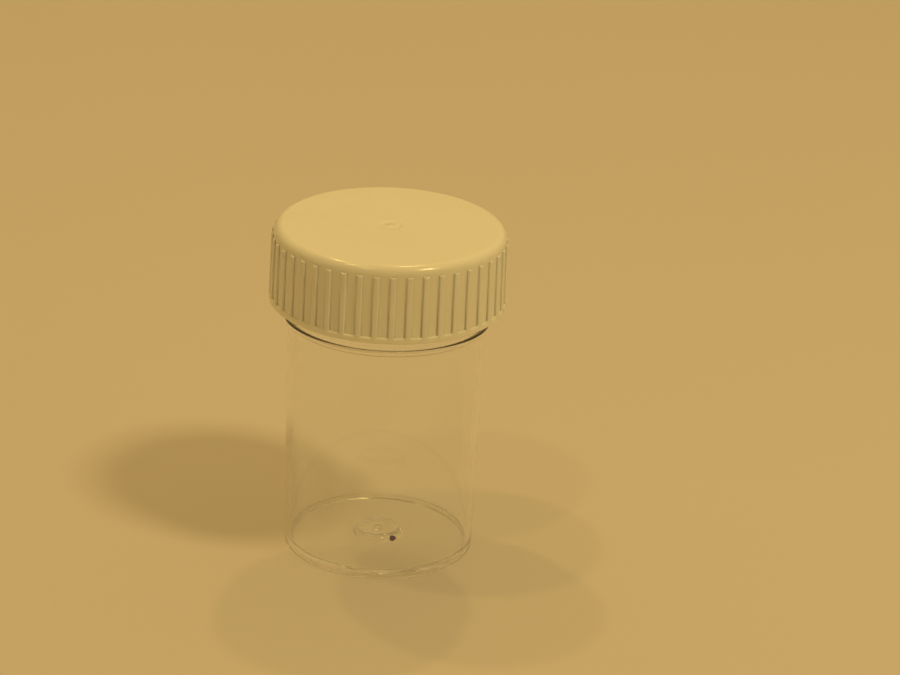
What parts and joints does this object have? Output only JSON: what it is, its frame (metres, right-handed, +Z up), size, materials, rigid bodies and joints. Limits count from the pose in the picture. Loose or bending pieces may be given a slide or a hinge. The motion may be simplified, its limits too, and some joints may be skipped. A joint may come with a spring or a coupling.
{
  "type": "urine specimen bottle",
  "caption": "Small round clear specimen bottle with a moulded foot ring, a bead under the neck and a ribbed white screw cap with a foam liner.",
  "frame": {"origin": "middle of the foot ring, on the surface that the bottle stands on", "axes": "+Z up along the bottle's axis, from the foot to the cap"},
  "size_m": [0.0454, 0.0454, 0.066],
  "materials": {
    "clear_polystyrene": "clear, polished moulding",
    "white_polypropylene": "white, satin moulding",
    "foam_liner": "white closed-cell foam, matt"
  },
  "bodies": {
    "bottle": {"bottle": "clear_polystyrene"},
    "liner": {"cap_liner": "foam_liner"},
    "cap": {"screw_cap": "white_polypropylene"}
  },
  "joints": [
    {"name": "cap_lift", "type": "slide", "parent": "bottle", "child": "liner", "axis": [0, 0, 1], "range_m": [0, 0.04]},
    {"name": "cap_turn", "type": "hinge", "parent": "liner", "child": "cap", "pos_m": [0, 0, 0.0585], "axis": [0, 0, 1], "range_deg": [0, 3600]}
  ],
  "couplings": [
    {"joint": "cap_lift", "follows": "cap_turn", "m_per_rad": 0.00063662}
  ]
}
